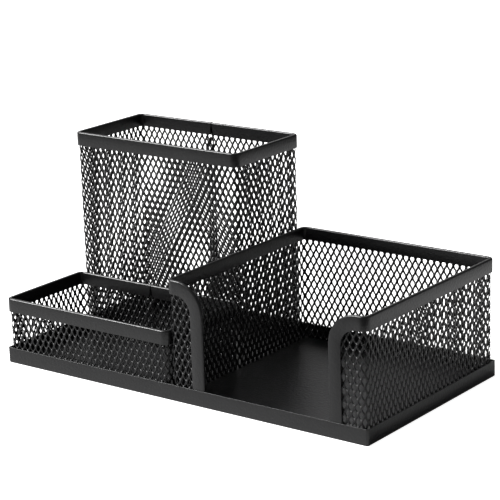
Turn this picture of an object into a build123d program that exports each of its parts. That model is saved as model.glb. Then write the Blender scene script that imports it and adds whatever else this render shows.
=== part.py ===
from build123d import *
import os

# Desk organizer: three wire-mesh baskets standing side by side in one shallow steel pan.
# The mesh of each basket is a folded strip, and a U-shaped steel rim grips its free edge.
# Millimetres, +Z up, front towards -Y. The origin is the centre of the pan's underside.

# ---- overall sizes -------------------------------------------------------------------
length = 205.0           # pan, left to right
depth = 105.0            # pan, front to back
cup_top = 101.4          # top of the pen cup's rim, above the desk
bin_top = 56.3           # top of the note bin's rim
tray_top = 31.8          # top of the clip tray's rim

# ---- pan -----------------------------------------------------------------------------
pan_sheet = 0.7          # sheet steel thickness
pan_band = 7.5           # height of the upturned band
pan_corner = 1.2         # outer radius of the four upright corners
pan_bend = 0.5           # outer radius of the bend from floor to band
pan_edge = 0.2           # softened top edge of the band

# ---- baskets -------------------------------------------------------------------------
tray_length = 97.0       # mesh of the tray and of the cup behind it, left to right
tray_depth = 52.4        # mesh of the tray, front to back
basket_gap = 1.8         # between the mesh walls of neighbouring baskets
mesh_sheet = 0.8         # thickness of the expanded-metal strip
mesh_corner = 3.0        # outer radius of a basket's upright corners
mesh_clearance = 0.05    # mesh to pan band, and mesh to each rim leaf

# ---- lap seam, where a strip is closed into a loop ------------------------------------
lap_width = 4.0          # overlap of the strip's two ends
lap_drop = 0.4           # the inner layer stops this far below the rim's inner leaf
seam_place = 45.2        # from a basket's left wall to its seam and rim joint, along the back
joint_gap = 0.3          # open butt joint between the two ends of a rim strip

# ---- rims ----------------------------------------------------------------------------
rim_sheet = 0.5          # rim strip thickness
rim_height = 6.5         # outer leaf, measured from the fold
rim_inner_height = 6.1   # inner leaf
rim_fold = 0.75          # radius of each edge of the fold
least_radius = 0.3       # smallest radius left where an inset eats up a corner

# ---- note bin's cut-away front ----------------------------------------------------------
panel_width = 19.0       # front panel each side, from the bin's side to the rim's free edge
post_curve = 14.5        # outer radius of the rim where it turns down into a post
post_gap = 0.2           # between a post's lower end and the pan band

# ---- worked out -------------------------------------------------------------------------
rim_reach = mesh_clearance + rim_sheet          # rim leaf stands this proud of the mesh
rim_thickness = mesh_sheet + 2 * rim_reach
slot_width = mesh_sheet + 2 * mesh_clearance
pan_inset = pan_sheet + mesh_clearance          # pan's outer face to a mesh wall
left = -length / 2 + pan_inset
right = length / 2 - pan_inset
front = -depth / 2 + pan_inset
back = depth / 2 - pan_inset
middle_x = left + tray_length                   # right wall of the tray and the cup
middle_y = front + tray_depth                   # back wall of the tray
tray = (left, middle_x, front, middle_y)
cup = (left, middle_x, middle_y + basket_gap, back)
note_bin = (middle_x + basket_gap, right, front, back)


def block(inset, plan, low, high):
    """Solid prism over a basket's plan, drawn in by inset, from low to high."""
    x0, x1, y0, y1 = plan
    radius = max(mesh_corner - inset, least_radius)
    face = RectangleRounded(x1 - x0 - 2 * inset, y1 - y0 - 2 * inset, radius)
    return extrude(Pos((x0 + x1) / 2, (y0 + y1) / 2, low) * face, amount=high - low)


def wall(plan, outset, thickness, low, high):
    """Closed wall round a plan: its outer face lies outset outside the mesh."""
    return block(-outset, plan, low, high) - block(thickness - outset, plan, low, high)


def seam_lap(plan, top):
    """Inner layer of mesh behind the rim joint, where the strip's ends overlap."""
    x0, _, _, y1 = plan
    high = top - rim_inner_height - lap_drop
    lap = Box(lap_width, mesh_sheet, high - pan_sheet, align=(Align.CENTER, Align.MAX, Align.MIN))
    return Pos(x0 + seam_place, y1 - mesh_sheet, pan_sheet) * lap


def closed_mesh(plan, top):
    """Mesh sleeve of a four-sided basket, standing on the pan's floor."""
    sleeve = wall(plan, 0, mesh_sheet, pan_sheet, top - rim_reach)
    return sleeve + seam_lap(plan, top)


def channel_ring(plan, top):
    """U-shaped rim over the top edge of a wall: outer leaf, fold and shorter inner leaf."""
    ring = wall(plan, rim_reach, rim_thickness, top - rim_height, top)
    ring = fillet(ring.edges().group_by(Axis.Z)[-1], rim_fold)
    slot = wall(plan, mesh_clearance, slot_width, top - rim_height, top - rim_sheet)
    inner_bay = wall(plan, -mesh_sheet, rim_reach, top - rim_height, top - rim_inner_height)
    return ring - slot - inner_bay


def closed_rim(plan, top):
    """Rim of a four-sided basket, with its open butt joint in the back wall."""
    x0, _, _, y1 = plan
    joint = Box(joint_gap, 4 * rim_thickness, 4 * rim_height)
    return channel_ring(plan, top) - Pos(x0 + seam_place, y1, top) * joint


def front_panel(drop, foot, far, thickness):
    """Left front panel of the note bin, drop inside the rim's free edge.

    The free edge runs level from the bin's side, turns down round the post curve and
    drops to foot. far is the panel's hidden face, and thickness counts towards the front.
    """
    edge = note_bin[0] + panel_width
    start = edge - post_curve
    turn = bin_top - post_curve
    outline = [
        Line((start, foot), (start, bin_top - drop)),
        CenterArc((start, turn), post_curve - drop, 0, 90),
        Line((edge - drop, turn), (edge - drop, foot)),
        Line((edge - drop, foot), (start, foot)),
    ]
    return extrude(Plane.XZ.offset(-far) * make_face(outline), amount=thickness)


def channel_leg():
    """Rim of the left front panel: the curve and the post, open towards the mesh."""
    foot = pan_band + post_gap
    inner_face = front + mesh_sheet + rim_reach
    leg = front_panel(0, foot, inner_face, rim_thickness)
    # the four edges of the fold: the curve and the post, on both faces
    edge = note_bin[0] + panel_width
    fold = [e for e in leg.edges() if on_fold(e, edge)]
    leg = fillet(fold, rim_fold)
    leg -= front_panel(rim_height, foot, inner_face, rim_thickness)
    leg -= front_panel(rim_sheet, foot, front + mesh_sheet + mesh_clearance, slot_width)
    return leg - front_panel(rim_inner_height, foot, inner_face, rim_reach)


def on_fold(edge, post_edge):
    """True for an edge that follows the free edge of the panel, on either face."""
    flat = edge.bounding_box().size.Y < least_radius
    middle = edge.position_at(0.5)
    on_post = abs(middle.X - post_edge) < least_radius
    return flat and (edge.geom_type == GeomType.CIRCLE or on_post)


def front_cut(low):
    """Block that clears the bin's front wall between the starts of the two curves."""
    reach = note_bin[0] + panel_width - post_curve
    width = note_bin[1] - note_bin[0] - 2 * (reach - note_bin[0])
    centre = (note_bin[0] + note_bin[1]) / 2
    cut = Box(width, 4 * rim_thickness, bin_top, align=(Align.CENTER, Align.CENTER, Align.MIN))
    return Pos(centre, front, low) * cut


def both_sides(shape):
    """A left front piece of the note bin and its mirror image on the right."""
    centre = Plane.YZ.offset((note_bin[0] + note_bin[1]) / 2)
    return shape + mirror(shape, about=centre)


def bin_mesh():
    """Three-sided mesh of the note bin, returning along the front as two narrow panels."""
    sleeve = wall(note_bin, 0, mesh_sheet, pan_sheet, bin_top - rim_reach)
    panel = front_panel(rim_reach, pan_sheet, front + mesh_sheet, mesh_sheet)
    return sleeve - front_cut(pan_sheet) + both_sides(panel)


def bin_rim():
    """One strip: up the left post, round the bin's three walls and down the right post."""
    return channel_ring(note_bin, bin_top) - front_cut(0) + both_sides(channel_leg())


def base_pan():
    """Shallow pan: a flat floor with its band turned up all round."""
    outer = extrude(RectangleRounded(length, depth, pan_corner), amount=pan_band)
    outer = fillet(outer.edges().group_by(Axis.Z)[0], pan_bend)
    inner_corner = max(pan_corner - pan_sheet, least_radius)
    inner = RectangleRounded(length - 2 * pan_sheet, depth - 2 * pan_sheet, inner_corner)
    pan = outer - extrude(Pos(0, 0, pan_sheet) * inner, amount=pan_band)
    return fillet(pan.edges().group_by(Axis.Z)[-1], pan_edge)


pieces = {
    "base_pan": base_pan(),
    "pen_cup_mesh": closed_mesh(cup, cup_top),
    "pen_cup_rim": closed_rim(cup, cup_top),
    "clip_tray_mesh": closed_mesh(tray, tray_top),
    "clip_tray_rim": closed_rim(tray, tray_top),
    "note_bin_mesh": bin_mesh(),
    "note_bin_rim": bin_rim(),
}

os.makedirs("parts", exist_ok=True)
for node, shape in pieces.items():
    export_step(shape, f"parts/{node}.step")
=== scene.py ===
"""Desk organizer: three expanded-metal baskets with folded steel rims, standing in a steel pan.

Metres, +Z up, front towards -Y. Every place comes from the frame's boxes and the sizes below.
A basket is made as its maker makes it: a flat strip of expanded metal is bent round the
basket's plan, and a folded steel strip is carried along its free edge.
"""
import math

import bpy
import numpy as np
from mathutils import Matrix, Vector


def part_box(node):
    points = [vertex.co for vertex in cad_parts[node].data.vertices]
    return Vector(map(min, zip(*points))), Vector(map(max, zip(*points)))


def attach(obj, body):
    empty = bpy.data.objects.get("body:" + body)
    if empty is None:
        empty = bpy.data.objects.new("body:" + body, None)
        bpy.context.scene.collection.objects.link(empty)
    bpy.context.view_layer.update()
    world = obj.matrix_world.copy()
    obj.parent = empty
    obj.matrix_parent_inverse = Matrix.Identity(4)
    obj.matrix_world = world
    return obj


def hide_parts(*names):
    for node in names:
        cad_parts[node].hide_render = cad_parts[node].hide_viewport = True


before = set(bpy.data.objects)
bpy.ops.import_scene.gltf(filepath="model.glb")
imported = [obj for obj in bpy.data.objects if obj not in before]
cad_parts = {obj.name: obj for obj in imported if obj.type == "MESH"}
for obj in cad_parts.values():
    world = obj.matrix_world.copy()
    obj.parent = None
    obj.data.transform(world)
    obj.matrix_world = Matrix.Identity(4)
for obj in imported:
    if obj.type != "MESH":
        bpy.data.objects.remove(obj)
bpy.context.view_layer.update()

MM = 0.001

# ---- sheet steel -----------------------------------------------------------------------
PAN_SHEET = 0.7 * MM
PAN_CORNER = 1.2 * MM          # outer radius of the pan's upright corners
PAN_BEND = 0.5 * MM            # bend from the pan's floor to its band
PAN_LIP = 0.1 * MM             # powder coat rounds the band's cut edge by this much
MESH_SHEET = 0.8 * MM          # thickness of the mesh strip, over its twisted strands
MESH_CORNER = 3.0 * MM         # outer radius of a basket's upright corners
RIM_SHEET = 0.5 * MM
RIM_HEIGHT = 6.5 * MM
RIM_INNER_HEIGHT = 6.1 * MM    # the rim's inner leaf, a little shorter than the outer one
RIM_FOLD = 0.75 * MM           # radius of each edge of the fold
RIM_LIP = 0.12 * MM            # powder coat rounds the rim's cut edges by this much
MESH_CLEARANCE = 0.05 * MM     # mesh to each leaf of its rim

# ---- note bin's front ------------------------------------------------------------------
PANEL_WIDTH = 19.0 * MM        # from the bin's side to the free edge of a front panel
POST_CURVE = 14.5 * MM         # the free edge turns down into the post at this radius
RIM_REACH = 0.55 * MM          # from the mesh's edge to the outside of the fold

# ---- seams of the closed baskets -------------------------------------------------------
SEAM_PLACE = 45.2 * MM         # from the left wall to the rim joint, along the back
JOINT_GAP = 0.3 * MM           # butt joint between the ends of a rim strip
JOINT_NOTCH = 1.1 * MM         # each end's inner leaf is snipped back this far at its foot
NOTCH_TOP = 3.4 * MM           # the snip starts this far below the fold
JOINT_STEP = 0.16 * MM         # one end stands this much higher than the other
STEP_RUN = 9.0 * MM            # and comes down over this length
MESH_START = 0.2 * MM          # the mesh strip starts this far right of the joint
LAP_BEFORE = 3.7 * MM          # the mesh's inner layer starts this far left of it
LAP_SHIFT = 0.85 * MM          # the inner layer lies this far inside the outer one
LAP_COLUMNS = 3                # width of the inner layer in half pitches

# ---- expanded metal --------------------------------------------------------------------
SHORT_PITCH = 3.4 * MM         # hole to hole, along the strip
LONG_PITCH = 6.05 * MM         # hole to hole, up the strip
HOLE_WIDTH = 1.86 * MM
HOLE_HEIGHT = 3.64 * MM
HOLE_ROUNDING = 1.7            # power on sine and cosine: 1 is an ellipse, 2 a diamond
STRAND_THICKNESS = 0.28 * MM
STRAND_TILT = 0.17             # stretching turns every knuckle by this slope
RING_STEPS = 12                # points round a hole, three to each side of its diamond
CUT_DEPTH = 3.0 * MM           # cells whose middle is less than this below a free edge go
CHANNEL = 6.0 * MM             # the mesh this near a free edge is hidden in the rim
SAME_PLACE = 0.0005 * MM       # points this close together are one point

# ---- steps of the curved surfaces ------------------------------------------------------
ARC_STEP = math.radians(7.5)   # largest turn between two stations of a path
RIM_STEP = 6 * MM              # largest distance between two stations of a rim
PAN_STEP = 8 * MM              # and of the pan
SHARP = math.radians(40)       # edges turned more than this are shaded sharp


# ---- paths -----------------------------------------------------------------------------
class Path:
    """A line along a basket wall, given by the stretches that make it up.

    Each stretch has a length, the heading it turns through about the vertical and the climb
    it turns through in the wall's plane, both at a steady rate. The direction of travel is
    (cos climb cos heading, cos climb sin heading, sin climb), and a place on the path is
    the running sum of that direction. The wall's outward normal is the horizontal one to
    the left of the heading, and direction x normal points to the wall's free edge.
    """

    STEP = 0.05 * MM    # of the running sum

    def __init__(self, start, heading, climb, stretches):
        lengths, turns, climbs = np.array(stretches, float).T
        self.ends = np.concatenate([[0], np.cumsum(lengths)])
        self.headings = heading + np.concatenate([[0], np.cumsum(turns)])
        self.climbs = climb + np.concatenate([[0], np.cumsum(climbs)])
        self.length = self.ends[-1]
        count = int(self.length / self.STEP) + 2
        self.table = np.linspace(0, self.length, count)
        middle = (self.table[1:] + self.table[:-1]) / 2
        step = self.direction(middle) * np.diff(self.table)[:, None]
        self.places = np.vstack([[0, 0, 0], np.cumsum(step, 0)]) + np.array(start)

    def angles(self, along):
        heading = np.interp(along, self.ends, self.headings)
        climb = np.interp(along, self.ends, self.climbs)
        return heading, climb

    def direction(self, along):
        heading, climb = self.angles(along)
        flat = np.cos(climb)
        return np.stack([flat * np.cos(heading), flat * np.sin(heading), np.sin(climb)], -1)

    def normal(self, along):
        heading, _ = self.angles(along)
        return np.stack([-np.sin(heading), np.cos(heading), 0 * heading], -1)

    def edge(self, along):
        """Unit vector from the wall towards its free edge."""
        return np.cross(self.direction(along), self.normal(along))

    def place(self, along):
        return np.stack([np.interp(along, self.table, self.places[:, k]) for k in range(3)], -1)

    def stations(self, straight_step):
        """Distances along the path, even on each stretch; 0.01 keeps rounding from adding one."""
        found = [np.zeros(1)]
        turned = np.abs(np.diff(self.headings)) + np.abs(np.diff(self.climbs))
        for low, high, turn in zip(self.ends[:-1], self.ends[1:], turned):
            pieces = math.ceil(max(turn / ARC_STEP - 0.01, (high - low) / straight_step))
            found.append(np.linspace(low, high, pieces + 1)[1:])
        return np.concatenate(found)


def bend(radius):
    """A right-hand quarter turn about the vertical."""
    return (radius * math.pi / 2, -math.pi / 2, 0)


def closed_path(plan, radius, start_x, height):
    """Round a four-sided plan from start_x on its back wall: right, front, left and back."""
    x0, x1, y0, y1 = plan
    run_x, run_y = x1 - x0 - 2 * radius, y1 - y0 - 2 * radius
    first = x1 - radius - start_x
    turn = bend(radius)
    stretches = [(first, 0, 0), turn, (run_y, 0, 0), turn, (run_x, 0, 0), turn, (run_y, 0, 0),
                 turn, (run_x - first, 0, 0)]
    return Path((start_x, y1, height), 0.0, 0.0, stretches)


def open_path(plan, radius, start_x, height):
    """From start_x on the front wall leftwards, round three walls and back to the front."""
    x0, x1, y0, y1 = plan
    first = start_x - x0 - radius
    turn = bend(radius)
    stretches = [(first, 0, 0), turn, (y1 - y0 - 2 * radius, 0, 0), turn,
                 (x1 - x0 - 2 * radius, 0, 0), turn, (y1 - y0 - 2 * radius, 0, 0), turn,
                 (first, 0, 0)]
    return Path((start_x, y0, height), math.pi, 0.0, stretches)


def post_path(plan, radius, post_x, foot, top):
    """Free edge of the note bin: up the left post, round three walls, down the right post."""
    x0, x1, y0, y1 = plan
    rise = top - POST_CURVE - foot
    first = post_x - POST_CURVE - x0 - radius
    turn = bend(radius)
    over = (POST_CURVE * math.pi / 2, 0, -math.pi / 2)
    stretches = [(rise, 0, 0), over, (first, 0, 0), turn, (y1 - y0 - 2 * radius, 0, 0), turn,
                 (x1 - x0 - 2 * radius, 0, 0), turn, (y1 - y0 - 2 * radius, 0, 0), turn,
                 (first, 0, 0), over, (rise, 0, 0)]
    return Path((post_x, y0, foot), math.pi, math.pi / 2, stretches)


# ---- surfaces --------------------------------------------------------------------------
def make_piece(name, points, faces, sharp=None):
    """A mesh object at the origin from an array of points and lists of faces."""
    mesh = bpy.data.meshes.new(name)
    mesh.from_pydata(points.tolist(), [], faces)
    mesh.validate()
    mesh.shade_smooth()
    if sharp is not None:
        mesh.set_sharp_from_angle(angle=sharp)
    piece = bpy.data.objects.new(name, mesh)
    bpy.context.scene.collection.objects.link(piece)
    return piece


def arc(centre, radius, start, end, steps):
    """Points of an arc in a section's plane, from one angle to the other in degrees."""
    turn = np.radians(np.linspace(start, end, steps + 1))
    return np.stack([centre[0] + radius * np.cos(turn), centre[1] + radius * np.sin(turn)], -1)


def grid_faces(rows, columns, wrap_rows, wrap_columns):
    """Quads of a grid of points numbered row by row, closed on itself where asked."""
    i = np.arange(rows if wrap_rows else rows - 1)[:, None]
    j = np.arange(columns if wrap_columns else columns - 1)[None, :]
    i1, j1 = (i + 1) % rows, (j + 1) % columns
    quads = [i * columns + j, i * columns + j1, i1 * columns + j1, i1 * columns + j]
    return np.stack([np.broadcast_to(q, (i.size, j.size)) for q in quads], -1).reshape(-1, 4)


def carried(path, along, section):
    """A section carried along a path: place + a x outward normal + b x edge direction.

    along holds a distance for each station, or one for each station and section point.
    """
    a, b = section.T
    along = np.broadcast_to(np.reshape(along, (len(along), -1)), (len(along), len(a)))
    outward = a[:, None] * path.normal(along)
    return path.place(along) + outward + b[:, None] * path.edge(along)


# ---- rims ------------------------------------------------------------------------------
def rim_section():
    """U section of a rim: outer leaf, round fold, inner leaf and the slot for the mesh.

    First number: outward from the mesh's middle. Second: from the top of the fold, upwards.
    """
    slot = MESH_SHEET / 2 + MESH_CLEARANCE
    face = slot + RIM_SHEET
    flat = face - RIM_FOLD
    return np.concatenate([
        arc((face - RIM_LIP, -RIM_HEIGHT + RIM_LIP), RIM_LIP, -90, 0, 2),
        arc((flat, -RIM_FOLD), RIM_FOLD, 0, 90, 6),
        arc((-flat, -RIM_FOLD), RIM_FOLD, 90, 180, 6),
        arc((-face + RIM_LIP, -RIM_INNER_HEIGHT + RIM_LIP), RIM_LIP, 180, 270, 2),
        [(-slot, -RIM_INNER_HEIGHT), (-slot, -RIM_SHEET), (slot, -RIM_SHEET),
         (slot, -RIM_HEIGHT)],
    ])


def strip_piece(name, points):
    """A closed section at every station, as a solid strip with flat ends."""
    rows, columns = points.shape[:2]
    faces = grid_faces(rows, columns, False, True).tolist()
    faces.append(list(range(columns))[::-1])
    faces.append(list(range((rows - 1) * columns, rows * columns)))
    return make_piece(name, points.reshape(-1, 3), faces, sharp=SHARP)


def closed_rim(name, plan, radius, top):
    """Rim of a four-sided basket, whose two ends meet in the back wall, JOINT_GAP apart.

    Each end's inner leaf is snipped back in a straight line, from nothing at NOTCH_TOP to
    JOINT_NOTCH at its foot, and the last end rises to JOINT_STEP with a smooth step.
    """
    path = closed_path(plan, radius, plan[0] + SEAM_PLACE, top)
    section = rim_section()
    a, b = section.T
    along = np.repeat(path.stations(RIM_STEP)[:, None], len(section), 1)
    depth = np.clip((-b - NOTCH_TOP) / (RIM_INNER_HEIGHT - NOTCH_TOP), 0, 1)
    snip = JOINT_GAP / 2 + np.where(a < 0, JOINT_NOTCH * depth, 0)
    along[0] = snip
    along[-1] = path.length - snip
    points = carried(path, along, section)
    share = np.clip(1 - (path.length - along) / STEP_RUN, 0, 1)
    points[..., 2] += JOINT_STEP * share ** 2 * (3 - 2 * share)
    return strip_piece(name, points)


def bin_rim(name, plan, radius, post_x, foot, top):
    """Rim of the note bin, one strip from the foot of one post to the foot of the other."""
    path = post_path(plan, radius, post_x, foot, top)
    return strip_piece(name, carried(path, path.stations(RIM_STEP), rim_section()))


# ---- pan -------------------------------------------------------------------------------
def base_pan(name, low, high):
    """Floor and upturned band: the band's section carried round the plan, floors filled in."""
    path = closed_path((low.x, high.x, low.y, high.y), PAN_CORNER, (low.x + high.x) / 2, low.z)
    height = high.z - low.z
    floor_edge = -0.9 * PAN_CORNER      # the floors start this side of the corners' centres
    section = np.concatenate([
        [(floor_edge, 0)],
        arc((-PAN_BEND, PAN_BEND), PAN_BEND, -90, 0, 4),
        arc((-PAN_LIP, height - PAN_LIP), PAN_LIP, 0, 90, 4),
        arc((-PAN_SHEET + PAN_LIP, height - PAN_LIP), PAN_LIP, 90, 180, 4),
        [(-PAN_SHEET, PAN_SHEET), (floor_edge, PAN_SHEET)],
    ])
    points = carried(path, path.stations(PAN_STEP)[:-1], section)
    rows, columns = points.shape[:2]
    faces = grid_faces(rows, columns, True, False).tolist()
    under = np.arange(rows) * columns
    faces.append(under.tolist())
    faces.append((under + columns - 1)[::-1].tolist())
    return make_piece(name, points.reshape(-1, 3), faces, sharp=SHARP)


# ---- expanded metal --------------------------------------------------------------------
def diamond_ring():
    """One cell: its diamond outline on the strands' middles, and the edge of its hole.

    The outline has its tips half a pitch away. The hole's edge is (width cos^p, height
    sin^p) with p = HOLE_ROUNDING. Both run anticlockwise from the right-hand tip, and the
    waves are rounded so that the four tips are exact.
    """
    k = np.arange(RING_STEPS)
    side, share = np.divmod(k * 4 / RING_STEPS, 1)
    tips = np.array([(1, 0), (0, 1), (-1, 0), (0, -1), (1, 0)], float)
    side = side.astype(int)
    share = share[:, None]
    outline = tips[side] * (1 - share) + tips[side + 1] * share
    turn = k * 2 * math.pi / RING_STEPS
    wave = np.stack([np.cos(turn), np.sin(turn)], -1).round(9)
    hole = np.sign(wave) * np.abs(wave) ** HOLE_ROUNDING
    outline = outline * [SHORT_PITCH / 2, LONG_PITCH / 2]
    hole = hole * [HOLE_WIDTH / 2, HOLE_HEIGHT / 2]
    return outline, hole


def strand_relief(u, v):
    """How far the sheet's middle stands proud at a point of the flat strip.

    Knuckles lie on a staggered grid, half a pitch beside the holes. Each one is tilted, so
    the relief is STRAND_TILT times the distance to the right of the nearest knuckle.
    """
    column, row = 2 * u / SHORT_PITCH, 2 * v / LONG_PITCH
    nearest = np.round((column - row - 1) / 2) + np.round((column + row + 1) / 2)
    return STRAND_TILT * (column - nearest) * SHORT_PITCH / 2


def expanded_strip(columns, rows, keep=None):
    """A flat strip of expanded metal, columns x rows half pitches: (along, up, depth), faces.

    A hole lies at every grid point whose column and row add up to an even number. Its cell
    is a ring of quads in front and one behind, from the outline to the hole's edge, which
    lies in the sheet's middle: a strand is thick along its middle and thin at its sides.
    Cells on the border are cut through their middle, cut strands end in triangles, and
    where keep drops a neighbour a narrow wall closes the cell's side.
    """
    n = RING_STEPS
    grid = np.indices((columns + 1, rows + 1))
    present = grid.sum(0) % 2 == 0
    if keep is not None:
        present &= keep(grid[0] * SHORT_PITCH / 2, grid[1] * LONG_PITCH / 2)
    i, j = np.nonzero(present)
    outline, hole = diamond_ring()
    centres = np.stack([i * SHORT_PITCH / 2, j * LONG_PITCH / 2], -1)
    flat = np.concatenate([outline, outline, hole])[None] + centres[:, None]
    half = np.repeat([STRAND_THICKNESS / 2, -STRAND_THICKNESS / 2, 0], n)
    depth = strand_relief(flat[..., 0], flat[..., 1]) + half
    points = np.concatenate([flat, depth[..., None]], -1).reshape(-1, 3)

    # segment k of a ring lies in quarter k // (n / 4); a border cell keeps the inner ones
    quarter = np.arange(n) * 4 // n
    right, up = np.isin(quarter, (0, 3)), np.isin(quarter, (0, 1))
    kept = ~((i == 0)[:, None] & ~right) & ~((i == columns)[:, None] & right)
    kept &= ~((j == 0)[:, None] & ~up) & ~((j == rows)[:, None] & up)

    k = np.arange(n)
    k1 = (k + 1) % n
    first = 3 * n * np.arange(len(i))[:, None, None]
    front = np.stack([k, k1, 2 * n + k1, 2 * n + k], -1) + first
    back = np.stack([n + k1, n + k, 2 * n + k, 2 * n + k1], -1) + first
    wall = np.stack([k1, k, n + k, n + k1], -1) + first
    starts = np.stack([k, 2 * n + k, n + k], -1) + first
    around = np.pad(present, 1)
    beside = around[i[:, None] + 1 + np.where(right, 1, -1), j[:, None] + 1 + np.where(up, 1, -1)]
    before = np.roll(kept, 1, 1)
    quads = np.concatenate([front[kept], back[kept], wall[kept & ~beside]])
    ends = np.concatenate([starts[kept & ~before], starts[before & ~kept][:, ::-1]])
    return welded(points, quads, ends)


def welded(points, quads, triangles):
    """Merges the points that lie in one place and leaves out the unused ones."""
    _, first, same = np.unique(np.round(points / SAME_PLACE).astype(np.int64), axis=0,
                               return_index=True, return_inverse=True)
    same = same.reshape(-1)
    quads, triangles = same[quads], same[triangles]
    used = np.unique(quads)
    place = np.zeros(len(first), int)
    place[used] = np.arange(len(used))
    return points[first[used]], place[quads], place[triangles]


def bent(path, strip, stretch=1.0, shift=0.0, start=0.0):
    """A flat strip bent along a path: place - depth x outward normal, at its own height."""
    points, quads, triangles = strip
    along, up, depth = points.T
    along = start + along * stretch
    places = path.place(along) - (depth + shift)[:, None] * path.normal(along)
    places[:, 2] += up
    return places, quads, triangles


def mesh_piece(name, parts):
    """One mesh object from several bent strips."""
    points, faces, count = [], [], 0
    for places, quads, triangles in parts:
        points.append(places)
        faces += (quads + count).tolist() + (triangles + count).tolist()
        count += len(places)
    return make_piece(name, np.concatenate(points), faces)


def closed_mesh(name, plan, radius, floor, top):
    """Mesh of a four-sided basket: a strip right round, and its lap inside the back wall."""
    joint = plan[0] + SEAM_PLACE
    path = closed_path(plan, radius, joint + MESH_START, floor)
    columns = round(path.length / (SHORT_PITCH / 2))
    rows = int((top - floor - RIM_REACH) / (LONG_PITCH / 2))
    stretch = path.length / (columns * SHORT_PITCH / 2)
    lap_rows = int((top - RIM_INNER_HEIGHT - floor) / (LONG_PITCH / 2))
    lap = expanded_strip(LAP_COLUMNS, lap_rows)
    lap_path = closed_path(plan, radius, joint - LAP_BEFORE, floor)
    return mesh_piece(name, [bent(path, expanded_strip(columns, rows), stretch),
                             bent(lap_path, lap, shift=LAP_SHIFT)])


def below_free_edge(u, v, length, height):
    """Distance inwards from the note bin's free edge on the flat strip, and its direction.

    Beside the posts and under the top it is the plain distance. In the quarter round each
    curve's centre it is POST_CURVE less the distance to that centre.
    """
    side = np.minimum(u, length - u) + RIM_REACH
    under = height - v
    x, y = np.maximum(POST_CURVE - side, 0), np.maximum(POST_CURVE - under, 0)
    reach = np.maximum(np.hypot(x, y), 1e-9)
    inward = np.where(u < length / 2, 1, -1)
    return POST_CURVE - reach, inward * x / reach, -y / reach


def bin_mesh(name, plan, radius, post_x, floor, top):
    """Mesh of the note bin: a strip from post to post, cut to the curves of its free edge.

    Cells are dropped only round the two curves. The strip is then squeezed inwards near its
    free edge, each point by the same share of what it lacks of CHANNEL: points CHANNEL inside
    the edge stay, and tips that overhang it end RIM_REACH inside it, hidden in the rim.
    """
    path = open_path(plan, radius, post_x - RIM_REACH, floor)
    length, height = path.length, top - floor
    columns = round(length / (SHORT_PITCH / 2))
    rows = int((height - RIM_REACH) / (LONG_PITCH / 2))
    stretch = length / (columns * SHORT_PITCH / 2)

    def stays(u, v):
        """Whether the cell with this middle is kept."""
        u = u * stretch
        between_curves = np.minimum(u, length - u) > POST_CURVE
        below_curves = v < height - POST_CURVE
        deep = below_free_edge(u, v, length, height)[0] > CUT_DEPTH
        return between_curves | below_curves | deep

    points, quads, triangles = expanded_strip(columns, rows, stays)
    u, v, depth = points.T
    u = u * stretch
    inside, go_u, go_v = below_free_edge(u, v, length, height)
    overhang = LONG_PITCH / 2 - CUT_DEPTH
    squeeze = (overhang + RIM_REACH) / (overhang + CHANNEL)
    move = squeeze * np.maximum(CHANNEL - inside, 0)
    flat = np.stack([u + move * go_u, v + move * go_v, depth], -1)
    return mesh_piece(name, [bent(path, (flat, quads, triangles))])


# ---- materials -------------------------------------------------------------------------
def colour(code):
    """Linear colour of an sRGB hex value."""
    value = np.array([int(code[k:k + 2], 16) for k in (1, 3, 5)]) / 255
    linear = np.where(value <= 0.04045, value / 12.92, ((value + 0.055) / 1.055) ** 2.4)
    return (*linear.tolist(), 1.0)


def add_node(tree, kind, settings=None, **inputs):
    """Adds a node. An input is a value, or (node, output name) for a link."""
    node = tree.nodes.new(kind)
    for key, value in (settings or {}).items():
        setattr(node, key, value)
    for key, value in inputs.items():
        socket = node.inputs[key.replace("_", " ")]
        if isinstance(value, tuple) and isinstance(value[0], bpy.types.Node):
            tree.links.new(value[0].outputs[value[1]], socket)
        else:
            socket.default_value = value
    return node


COAT_DARK = "#0c0c0d"
COAT_LIGHT = "#141415"
COAT_ROUGHNESS = 0.36
ROUGHNESS_SPREAD = 0.05        # either way, from grain to grain
CLOUD = 14 * MM                # the film's thickness drifts over this distance


def satin_powder_coat(name, peel, peel_height):
    """Satin black polyester powder coat on steel, sprayed and baked.

    It flows out into a soft satin skin with a fine orange peel, so highlights are broad
    and a little grainy, and the black lightens slightly where the film is thin. peel is
    the grain's width, and peel_height the most its relief could reach.
    """
    material = bpy.data.materials.new(name)
    material.use_nodes = True
    tree = material.node_tree
    shader = tree.nodes["Principled BSDF"]
    place = add_node(tree, "ShaderNodeTexCoord")
    cloud = add_node(tree, "ShaderNodeTexNoise", Vector=(place, "Object"),
                     Scale=1 / CLOUD, Detail=3.0)
    # a mix of colours has its two colours on inputs 6 and 7 and the result on output 2
    tone = add_node(tree, "ShaderNodeMix", {"data_type": "RGBA"}, Factor=(cloud, "Fac"))
    tone.inputs[6].default_value = colour(COAT_DARK)
    tone.inputs[7].default_value = colour(COAT_LIGHT)
    grain = add_node(tree, "ShaderNodeTexNoise", Vector=(place, "Object"),
                     Scale=1 / peel, Detail=2.0)
    gloss = add_node(tree, "ShaderNodeMapRange", Value=(grain, "Fac"),
                     To_Min=COAT_ROUGHNESS - ROUGHNESS_SPREAD,
                     To_Max=COAT_ROUGHNESS + ROUGHNESS_SPREAD)
    relief = add_node(tree, "ShaderNodeBump", Height=(grain, "Fac"), Distance=peel_height,
                      Strength=1.0)
    tree.links.new(tone.outputs[2], shader.inputs["Base Color"])
    tree.links.new(gloss.outputs["Result"], shader.inputs["Roughness"])
    tree.links.new(relief.outputs["Normal"], shader.inputs["Normal"])
    shader.inputs["IOR"].default_value = 1.5
    shader.inputs["Specular IOR Level"].default_value = 0.42
    return material


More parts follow.
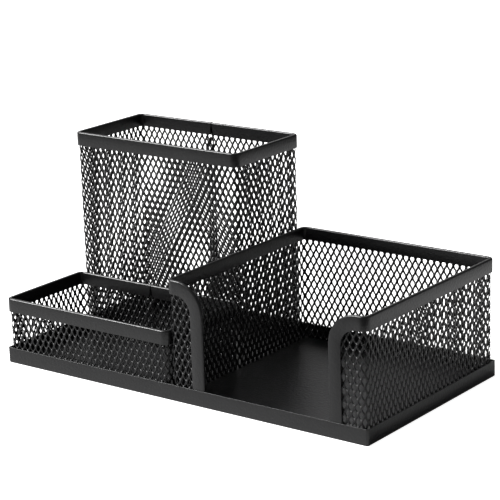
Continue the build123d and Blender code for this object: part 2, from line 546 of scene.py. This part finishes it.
# ---- the organizer ---------------------------------------------------------------------
pan_low, pan_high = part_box("base_pan")
floor_top = pan_low.z + PAN_SHEET

# the peel stays flatter on the narrow strands
plain_coat = satin_powder_coat("satin_black_powder_coat", 1.1 * MM, 0.12 * MM)
mesh_coat = satin_powder_coat("satin_black_powder_coat_on_mesh", 0.8 * MM, 0.006 * MM)


def basket_plan(node):
    """Plan of a basket's mesh along the middle of its sheet, and its corner radius."""
    low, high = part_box(node)
    half = MESH_SHEET / 2
    return (low.x + half, high.x - half, low.y + half, high.y - half), MESH_CORNER - half


def dress(piece, material, slot, *nodes):
    """Gives a piece its material and ties it to the frame's one body."""
    piece.data.materials.append(material)
    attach(piece, "root")
    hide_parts(*nodes)


dress(base_pan("pan", pan_low, pan_high), plain_coat, "pan_steel", "base_pan")

for basket in ("pen_cup", "clip_tray"):
    plan, radius = basket_plan(basket + "_mesh")
    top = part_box(basket + "_rim")[1].z
    dress(closed_mesh(basket + "_expanded_metal", plan, radius, floor_top, top), mesh_coat,
          "mesh_steel", basket + "_mesh")
    dress(closed_rim(basket + "_folded_rim", plan, radius, top), plain_coat, "rim_steel",
          basket + "_rim")

plan, radius = basket_plan("note_bin_mesh")
post_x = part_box("note_bin_mesh")[0].x + PANEL_WIDTH
rim_low, rim_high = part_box("note_bin_rim")
dress(bin_mesh("note_bin_expanded_metal", plan, radius, post_x, floor_top, rim_high.z),
      mesh_coat, "mesh_steel", "note_bin_mesh")
dress(bin_rim("note_bin_folded_rim", plan, radius, post_x, rim_low.z, rim_high.z), plain_coat,
      "rim_steel", "note_bin_rim")

# ---- studio ----------------------------------------------------------------------------
WHITE = "#ffffff"
PAPER_AZIMUTH = 37             # degrees; the paper is laid out towards the camera
PAPER_FRONT = 0.17             # the organizer's middle to the paper's front edge
PAPER_AWAY = 2.4               # to where the paper turns up
PAPER_LEFT = 0.62
PAPER_RIGHT = 0.36
BACKDROP_HEIGHT = 2.0
ROOM_SIDE = 12.0
ROOM_DROP = 2 * MM             # the room's floor lies this far below the paper
ROOM_LIGHT = 0.16              # even white light from the rest of the room


def direction(azimuth, elevation):
    """Unit vector for two angles in degrees: azimuth 0 is in front, 90 to the right."""
    turn, rise = math.radians(azimuth), math.radians(elevation)
    return Vector((math.sin(turn) * math.cos(rise), -math.cos(turn) * math.cos(rise),
                   math.sin(rise)))


def paper(name, shade, own_light, camera_light):
    """Dead matt paper or painted floor.

    own_light is what lamps of its own cast on it. camera_light is a glow that only the
    camera sees: it keeps the shadows pale and leaves what the steel reflects alone.
    """
    material = bpy.data.materials.new(name)
    material.use_nodes = True
    tree = material.node_tree
    shader = tree.nodes["Principled BSDF"]
    shader.inputs["Base Color"].default_value = colour(shade)
    shader.inputs["Roughness"].default_value = 0.95
    shader.inputs["Emission Color"].default_value = colour(WHITE)
    seen = add_node(tree, "ShaderNodeLightPath")
    glow = add_node(tree, "ShaderNodeMath", {"operation": "MULTIPLY_ADD"})
    tree.links.new(seen.outputs["Is Camera Ray"], glow.inputs[0])
    glow.inputs[1].default_value = camera_light
    glow.inputs[2].default_value = own_light
    tree.links.new(glow.outputs["Value"], shader.inputs["Emission Strength"])
    return material


def sheet(name, corner, side, other_side, material):
    """A flat four-sided sheet of the studio, from one corner and its two sides."""
    corners = corner + np.array([0 * side, side, side + other_side, other_side])
    piece = make_piece(name, corners, [[0, 1, 2, 3]])
    piece.data.materials.append(material)


def far_soft_box(name, azimuth, elevation, spread, strength):
    """A large soft box so far away that its light is even: a sun lamp, spread degrees wide."""
    light = bpy.data.lights.new(name, "SUN")
    light.angle = math.radians(spread)
    light.energy = strength
    lamp = bpy.data.objects.new(name, light)
    lamp.rotation_euler = direction(azimuth, elevation).to_track_quat("Z", "Y").to_euler()
    scene.collection.objects.link(lamp)


scene = bpy.context.scene
scene.view_settings.view_transform = "Standard"

towards = np.array(direction(PAPER_AZIMUTH, 0))
across = np.array(direction(PAPER_AZIMUTH + 90, 0))
ground = np.array((0, 0, pan_low.z))
left_side = ground - across * PAPER_LEFT
paper_width = across * (PAPER_LEFT + PAPER_RIGHT)
sheet("studio_paper", left_side + towards * PAPER_FRONT, paper_width,
      -towards * (PAPER_FRONT + PAPER_AWAY),
      paper("matt_white_paper_floor", "#cecece", own_light=0.0, camera_light=0.95))
sheet("studio_backdrop", left_side - towards * PAPER_AWAY, paper_width,
      np.array((0, 0, BACKDROP_HEIGHT)),
      paper("matt_white_paper_backdrop", "#b4b4b4", own_light=0.9, camera_light=0.0))
sheet("studio_room_floor", ground - (across - towards) * ROOM_SIDE / 2 - [0, 0, ROOM_DROP],
      across * ROOM_SIDE, -towards * ROOM_SIDE,
      paper("matt_room_floor", "#404040", own_light=0.0, camera_light=1.0))

world = bpy.data.worlds.new("studio_room")
scene.world = world
world.use_nodes = True
background = world.node_tree.nodes["Background"]
background.inputs["Color"].default_value = colour(WHITE)
background.inputs["Strength"].default_value = ROOM_LIGHT

far_soft_box("key_light", azimuth=-65, elevation=47, spread=25, strength=7.0)

# ---- camera ----------------------------------------------------------------------------
CAMERA_AZIMUTH = 37.41         # degrees
CAMERA_ELEVATION = 15.81       # degrees
CAMERA_ROLL = math.radians(-1.82)
CAMERA_PLACE = Vector((0.5343, -0.6935, 0.3052))
LENS = 143.0                   # millimetres, on a sensor 36 wide

back = direction(CAMERA_AZIMUTH, CAMERA_ELEVATION)
level = direction(CAMERA_AZIMUTH + 90, 0)
upright = back.cross(level)
right = level * math.cos(CAMERA_ROLL) + upright * math.sin(CAMERA_ROLL)
up = upright * math.cos(CAMERA_ROLL) - level * math.sin(CAMERA_ROLL)
turned = Matrix((right, up, back)).transposed().to_4x4()
camera_data = bpy.data.cameras.new("camera")
camera_data.lens = LENS
camera_data.sensor_width = 36
camera_data.clip_start = 0.05
camera_data.clip_end = 50
camera = bpy.data.objects.new("camera", camera_data)
camera.matrix_world = Matrix.Translation(CAMERA_PLACE) @ turned
scene.collection.objects.link(camera)
scene.camera = camera
